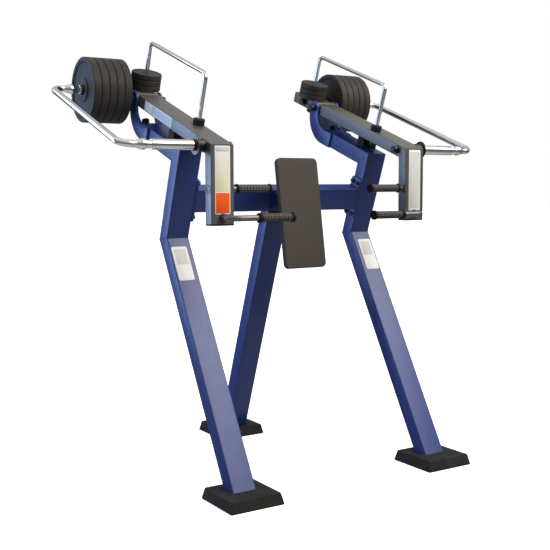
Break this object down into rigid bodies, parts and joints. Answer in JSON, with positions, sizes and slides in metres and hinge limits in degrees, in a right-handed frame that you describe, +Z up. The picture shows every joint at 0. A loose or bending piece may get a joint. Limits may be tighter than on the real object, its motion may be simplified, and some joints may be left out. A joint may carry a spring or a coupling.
{
  "type": "standing shoulder press machine",
  "caption": "Standing shoulder press machine: separately pivoting lever arms with captive weight plates on bent rails, on a tripod frame with a back pad.",
  "frame": {"origin": "on the floor, in the middle of the machine's bounding box", "axes": "+X from the left arm to the right arm as seen from the front, +Y to the rear, +Z up"},
  "size_m": [2.074, 1.3739, 2.1434],
  "materials": {
    "blue_paint": "satin navy blue powder coat",
    "graphite_paint": "satin warm grey powder coat",
    "chrome": "polished",
    "zinc_steel": "dark plated",
    "black_rubber": "matte",
    "plate_iron": "black paint on cast iron",
    "grip_rubber": "matte, moulded diamond grip",
    "pad_cover": "dark synthetic upholstery"
  },
  "bodies": {
    "frame": {"crossbeam": "blue_paint", "rear_leg": "blue_paint", "rear_foot": "black_rubber", "pad_bracket": "graphite_paint", "back_pad": "pad_cover", "left_front_foot": "black_rubber", "left_lower_leg": "blue_paint", "left_upper_post": "blue_paint", "left_clevis": "blue_paint", "left_pivot_pin": "zinc_steel", "left_rest_bump": "black_rubber", "left_throat_buffer": "black_rubber", "right_front_foot": "black_rubber", "right_lower_leg": "blue_paint", "right_upper_post": "blue_paint", "right_clevis": "blue_paint", "right_pivot_pin": "zinc_steel", "right_rest_bump": "black_rubber", "right_throat_buffer": "black_rubber"},
    "left_lever_arm": {"left_arm": "graphite_paint", "left_front_flange": "graphite_paint", "left_rear_collar": "graphite_paint", "left_front_sleeve": "chrome", "left_rear_sleeve": "chrome", "left_large_rail": "chrome", "left_small_rail": "chrome", "left_rubber_stop": "black_rubber", "left_upper_grip": "grip_rubber", "left_lower_handle": "graphite_paint", "left_lower_grip": "grip_rubber"},
    "left_large_plate_1": {"left_large_plate_1": "plate_iron"},
    "left_large_plate_2": {"left_large_plate_2": "plate_iron"},
    "left_large_plate_3": {"left_large_plate_3": "plate_iron"},
    "left_large_plate_4": {"left_large_plate_4": "plate_iron"},
    "left_large_plate_5": {"left_large_plate_5": "plate_iron"},
    "left_small_plate_1": {"left_small_plate_1": "plate_iron"},
    "left_small_plate_2": {"left_small_plate_2": "plate_iron"},
    "left_small_plate_3": {"left_small_plate_3": "plate_iron"},
    "right_lever_arm": {"right_arm": "graphite_paint", "right_front_flange": "graphite_paint", "right_rear_collar": "graphite_paint", "right_front_sleeve": "chrome", "right_rear_sleeve": "chrome", "right_large_rail": "chrome", "right_small_rail": "chrome", "right_rubber_stop": "black_rubber", "right_upper_grip": "grip_rubber", "right_lower_handle": "graphite_paint", "right_lower_grip": "grip_rubber"},
    "right_large_plate_1": {"right_large_plate_1": "plate_iron"},
    "right_large_plate_2": {"right_large_plate_2": "plate_iron"},
    "right_large_plate_3": {"right_large_plate_3": "plate_iron"},
    "right_large_plate_4": {"right_large_plate_4": "plate_iron"},
    "right_large_plate_5": {"right_large_plate_5": "plate_iron"},
    "right_small_plate_1": {"right_small_plate_1": "plate_iron"},
    "right_small_plate_2": {"right_small_plate_2": "plate_iron"},
    "right_small_plate_3": {"right_small_plate_3": "plate_iron"}
  },
  "joints": [
    {"name": "left_arm_hinge", "type": "hinge", "parent": "frame", "child": "left_lever_arm", "pos_m": [-0.56, 0.40572, 1.85142], "axis": [-1, 0, 0], "range_deg": [0, 60]},
    {"name": "left_large_plate_1_slide", "type": "slide", "parent": "left_lever_arm", "child": "left_large_plate_1", "axis": [-1, 0, 0], "range_m": [0, 0.02]},
    {"name": "left_large_plate_2_slide", "type": "slide", "parent": "left_large_plate_1", "child": "left_large_plate_2", "axis": [-1, 0, 0], "range_m": [0, 0.02]},
    {"name": "left_large_plate_3_slide", "type": "slide", "parent": "left_large_plate_2", "child": "left_large_plate_3", "axis": [-1, 0, 0], "range_m": [0, 0.02]},
    {"name": "left_large_plate_4_slide", "type": "slide", "parent": "left_large_plate_3", "child": "left_large_plate_4", "axis": [-1, 0, 0], "range_m": [0, 0.02]},
    {"name": "left_large_plate_5_slide", "type": "slide", "parent": "left_large_plate_4", "child": "left_large_plate_5", "axis": [-1, 0, 0], "range_m": [0, 0.02]},
    {"name": "left_small_plate_1_slide", "type": "slide", "parent": "left_lever_arm", "child": "left_small_plate_1", "axis": [0, -0.342, 0.9397], "range_m": [0, 0.025]},
    {"name": "left_small_plate_2_slide", "type": "slide", "parent": "left_small_plate_1", "child": "left_small_plate_2", "axis": [0, -0.342, 0.9397], "range_m": [0, 0.025]},
    {"name": "left_small_plate_3_slide", "type": "slide", "parent": "left_small_plate_2", "child": "left_small_plate_3", "axis": [0, -0.342, 0.9397], "range_m": [0, 0.025]},
    {"name": "right_arm_hinge", "type": "hinge", "parent": "frame", "child": "right_lever_arm", "pos_m": [0.56, 0.40572, 1.85142], "axis": [-1, 0, 0], "range_deg": [0, 60]},
    {"name": "right_large_plate_1_slide", "type": "slide", "parent": "right_lever_arm", "child": "right_large_plate_1", "axis": [1, 0, 0], "range_m": [0, 0.02]},
    {"name": "right_large_plate_2_slide", "type": "slide", "parent": "right_large_plate_1", "child": "right_large_plate_2", "axis": [1, 0, 0], "range_m": [0, 0.02]},
    {"name": "right_large_plate_3_slide", "type": "slide", "parent": "right_large_plate_2", "child": "right_large_plate_3", "axis": [1, 0, 0], "range_m": [0, 0.02]},
    {"name": "right_large_plate_4_slide", "type": "slide", "parent": "right_large_plate_3", "child": "right_large_plate_4", "axis": [1, 0, 0], "range_m": [0, 0.02]},
    {"name": "right_large_plate_5_slide", "type": "slide", "parent": "right_large_plate_4", "child": "right_large_plate_5", "axis": [1, 0, 0], "range_m": [0, 0.02]},
    {"name": "right_small_plate_1_slide", "type": "slide", "parent": "right_lever_arm", "child": "right_small_plate_1", "axis": [0, -0.342, 0.9397], "range_m": [0, 0.025]},
    {"name": "right_small_plate_2_slide", "type": "slide", "parent": "right_small_plate_1", "child": "right_small_plate_2", "axis": [0, -0.342, 0.9397], "range_m": [0, 0.025]},
    {"name": "right_small_plate_3_slide", "type": "slide", "parent": "right_small_plate_2", "child": "right_small_plate_3", "axis": [0, -0.342, 0.9397], "range_m": [0, 0.025]}
  ]
}
